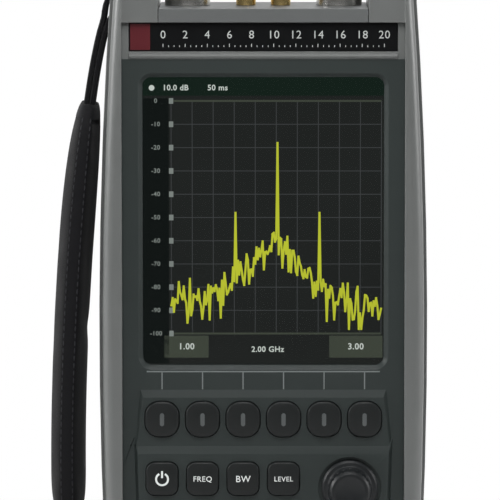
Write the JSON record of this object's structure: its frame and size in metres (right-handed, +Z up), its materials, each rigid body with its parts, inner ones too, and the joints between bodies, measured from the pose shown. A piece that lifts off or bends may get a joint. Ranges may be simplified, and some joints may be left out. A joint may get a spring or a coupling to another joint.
{
  "type": "handheld spectrum analyzer",
  "caption": "Handheld spectrum analyzer with bowed soft bumpers, tall display, key field, tuning knob, top RF connectors, fold-out bail stand and padded hand strap.",
  "frame": {"origin": "middle of the flat base that the instrument stands on", "axes": "+X across to the right, +Y from the front to the back, +Z up"},
  "size_m": [0.1746, 0.072, 0.33],
  "materials": {
    "dark_case": "fine grain",
    "bumper_rubber": "soft satin",
    "grey_panel": "satin",
    "black_gloss": "gloss",
    "display_glass": "clear",
    "black_foam": "matt",
    "lcd_dark": "semi gloss",
    "amber_film": "gloss",
    "grey_silicone": "matt",
    "board_green": "satin",
    "zinc": "satin",
    "shield_steel": "satin",
    "nickel": "bright",
    "gold_brass": "bright",
    "copper": "bright",
    "battery_black": "matt",
    "pin_steel": "bright",
    "socket_black": "satin",
    "webbing": "ribbed weave",
    "sleeve_fabric": "padded weave",
    "black_plastic": "satin",
    "knob_plastic": "satin",
    "softkey_rubber": "satin",
    "key_rubber": "satin"
  },
  "bodies": {
    "instrument": {"front_case": "dark_case", "rear_case": "dark_case", "left_bumper": "bumper_rubber", "right_bumper": "bumper_rubber", "top_panel": "grey_panel", "base_panel": "grey_panel", "label_plate": "black_gloss", "display_window": "display_glass", "display_gasket": "black_foam", "lcd_panel": "lcd_dark", "display_ribbon": "amber_film", "keypad_mat": "grey_silicone", "keypad_board": "board_green", "encoder": "zinc", "main_board": "board_green", "rf_module": "shield_steel", "rf_connectors": "nickel", "sma_connectors": "gold_brass", "connector_nuts": "nickel", "connector_contacts": "gold_brass", "coax_leads": "copper", "battery_pack": "battery_black", "hinge_pins": "pin_steel", "port_block": "socket_black", "strap_webbing": "webbing", "strap_pad": "sleeve_fabric", "strap_anchor": "black_plastic", "case_screws": "pin_steel", "board_screws": "pin_steel"},
    "knob_unit": {"knob": "knob_plastic", "encoder_shaft": "pin_steel"},
    "bail": {"bail_stand": "black_plastic"},
    "battery_cover": {"battery_door": "dark_case"},
    "port_cover": {"port_door": "bumper_rubber"},
    "softkey_1_cap": {"softkey_1": "softkey_rubber"},
    "softkey_2_cap": {"softkey_2": "softkey_rubber"},
    "softkey_3_cap": {"softkey_3": "softkey_rubber"},
    "softkey_4_cap": {"softkey_4": "softkey_rubber"},
    "softkey_5_cap": {"softkey_5": "softkey_rubber"},
    "softkey_6_cap": {"softkey_6": "softkey_rubber"},
    "power_key_cap": {"power_key": "key_rubber"},
    "frequency_key_cap": {"frequency_key": "key_rubber"},
    "bandwidth_key_cap": {"bandwidth_key": "key_rubber"},
    "amplitude_key_cap": {"amplitude_key": "key_rubber"},
    "seven_key_cap": {"seven_key": "key_rubber"},
    "eight_key_cap": {"eight_key": "key_rubber"},
    "nine_key_cap": {"nine_key": "key_rubber"},
    "sign_key_cap": {"sign_key": "key_rubber"},
    "four_key_cap": {"four_key": "key_rubber"},
    "five_key_cap": {"five_key": "key_rubber"},
    "six_key_cap": {"six_key": "key_rubber"},
    "point_key_cap": {"point_key": "key_rubber"},
    "one_key_cap": {"one_key": "key_rubber"},
    "two_key_cap": {"two_key": "key_rubber"},
    "three_key_cap": {"three_key": "key_rubber"},
    "zero_key_cap": {"zero_key": "key_rubber"},
    "up_key_cap": {"up_key": "key_rubber"},
    "down_key_cap": {"down_key": "key_rubber"},
    "enter_key_cap": {"enter_key": "key_rubber"}
  },
  "joints": [
    {"name": "knob_turn", "type": "hinge", "parent": "instrument", "child": "knob_unit", "pos_m": [0.0398, -0.03, 0.0825], "axis": [0, 1, 0], "continuous": true},
    {"name": "bail_hinge", "type": "hinge", "parent": "instrument", "child": "bail", "pos_m": [0, 0.025, 0.25], "axis": [1, 0, 0], "range_deg": [0, 50]},
    {"name": "port_door_hinge", "type": "hinge", "parent": "instrument", "child": "port_cover", "pos_m": [0.0734, 0.017, 0.155], "axis": [0, 0, 1], "range_deg": [0, 90]},
    {"name": "battery_door_lift", "type": "slide", "parent": "instrument", "child": "battery_cover", "axis": [0, 1, 0], "range_m": [0, 0.03]},
    {"name": "softkey_1_press", "type": "slide", "parent": "instrument", "child": "softkey_1_cap", "axis": [0, 1, 0], "range_m": [0, 0.0012], "stiffness_N_per_m": 400, "springref_m": -0.0006},
    {"name": "softkey_2_press", "type": "slide", "parent": "instrument", "child": "softkey_2_cap", "axis": [0, 1, 0], "range_m": [0, 0.0012], "stiffness_N_per_m": 400, "springref_m": -0.0006},
    {"name": "softkey_3_press", "type": "slide", "parent": "instrument", "child": "softkey_3_cap", "axis": [0, 1, 0], "range_m": [0, 0.0012], "stiffness_N_per_m": 400, "springref_m": -0.0006},
    {"name": "softkey_4_press", "type": "slide", "parent": "instrument", "child": "softkey_4_cap", "axis": [0, 1, 0], "range_m": [0, 0.0012], "stiffness_N_per_m": 400, "springref_m": -0.0006},
    {"name": "softkey_5_press", "type": "slide", "parent": "instrument", "child": "softkey_5_cap", "axis": [0, 1, 0], "range_m": [0, 0.0012], "stiffness_N_per_m": 400, "springref_m": -0.0006},
    {"name": "softkey_6_press", "type": "slide", "parent": "instrument", "child": "softkey_6_cap", "axis": [0, 1, 0], "range_m": [0, 0.0012], "stiffness_N_per_m": 400, "springref_m": -0.0006},
    {"name": "power_key_press", "type": "slide", "parent": "instrument", "child": "power_key_cap", "axis": [0, 1, 0], "range_m": [0, 0.0012], "stiffness_N_per_m": 400, "springref_m": -0.0006},
    {"name": "frequency_key_press", "type": "slide", "parent": "instrument", "child": "frequency_key_cap", "axis": [0, 1, 0], "range_m": [0, 0.0012], "stiffness_N_per_m": 400, "springref_m": -0.0006},
    {"name": "bandwidth_key_press", "type": "slide", "parent": "instrument", "child": "bandwidth_key_cap", "axis": [0, 1, 0], "range_m": [0, 0.0012], "stiffness_N_per_m": 400, "springref_m": -0.0006},
    {"name": "amplitude_key_press", "type": "slide", "parent": "instrument", "child": "amplitude_key_cap", "axis": [0, 1, 0], "range_m": [0, 0.0012], "stiffness_N_per_m": 400, "springref_m": -0.0006},
    {"name": "seven_key_press", "type": "slide", "parent": "instrument", "child": "seven_key_cap", "axis": [0, 1, 0], "range_m": [0, 0.0012], "stiffness_N_per_m": 400, "springref_m": -0.0006},
    {"name": "eight_key_press", "type": "slide", "parent": "instrument", "child": "eight_key_cap", "axis": [0, 1, 0], "range_m": [0, 0.0012], "stiffness_N_per_m": 400, "springref_m": -0.0006},
    {"name": "nine_key_press", "type": "slide", "parent": "instrument", "child": "nine_key_cap", "axis": [0, 1, 0], "range_m": [0, 0.0012], "stiffness_N_per_m": 400, "springref_m": -0.0006},
    {"name": "sign_key_press", "type": "slide", "parent": "instrument", "child": "sign_key_cap", "axis": [0, 1, 0], "range_m": [0, 0.0012], "stiffness_N_per_m": 400, "springref_m": -0.0006},
    {"name": "four_key_press", "type": "slide", "parent": "instrument", "child": "four_key_cap", "axis": [0, 1, 0], "range_m": [0, 0.0012], "stiffness_N_per_m": 400, "springref_m": -0.0006},
    {"name": "five_key_press", "type": "slide", "parent": "instrument", "child": "five_key_cap", "axis": [0, 1, 0], "range_m": [0, 0.0012], "stiffness_N_per_m": 400, "springref_m": -0.0006},
    {"name": "six_key_press", "type": "slide", "parent": "instrument", "child": "six_key_cap", "axis": [0, 1, 0], "range_m": [0, 0.0012], "stiffness_N_per_m": 400, "springref_m": -0.0006},
    {"name": "point_key_press", "type": "slide", "parent": "instrument", "child": "point_key_cap", "axis": [0, 1, 0], "range_m": [0, 0.0012], "stiffness_N_per_m": 400, "springref_m": -0.0006},
    {"name": "one_key_press", "type": "slide", "parent": "instrument", "child": "one_key_cap", "axis": [0, 1, 0], "range_m": [0, 0.0012], "stiffness_N_per_m": 400, "springref_m": -0.0006},
    {"name": "two_key_press", "type": "slide", "parent": "instrument", "child": "two_key_cap", "axis": [0, 1, 0], "range_m": [0, 0.0012], "stiffness_N_per_m": 400, "springref_m": -0.0006},
    {"name": "three_key_press", "type": "slide", "parent": "instrument", "child": "three_key_cap", "axis": [0, 1, 0], "range_m": [0, 0.0012], "stiffness_N_per_m": 400, "springref_m": -0.0006},
    {"name": "zero_key_press", "type": "slide", "parent": "instrument", "child": "zero_key_cap", "axis": [0, 1, 0], "range_m": [0, 0.0012], "stiffness_N_per_m": 400, "springref_m": -0.0006},
    {"name": "up_key_press", "type": "slide", "parent": "instrument", "child": "up_key_cap", "axis": [0, 1, 0], "range_m": [0, 0.0012], "stiffness_N_per_m": 400, "springref_m": -0.0006},
    {"name": "down_key_press", "type": "slide", "parent": "instrument", "child": "down_key_cap", "axis": [0, 1, 0], "range_m": [0, 0.0012], "stiffness_N_per_m": 400, "springref_m": -0.0006},
    {"name": "enter_key_press", "type": "slide", "parent": "instrument", "child": "enter_key_cap", "axis": [0, 1, 0], "range_m": [0, 0.0012], "stiffness_N_per_m": 400, "springref_m": -0.0006}
  ]
}
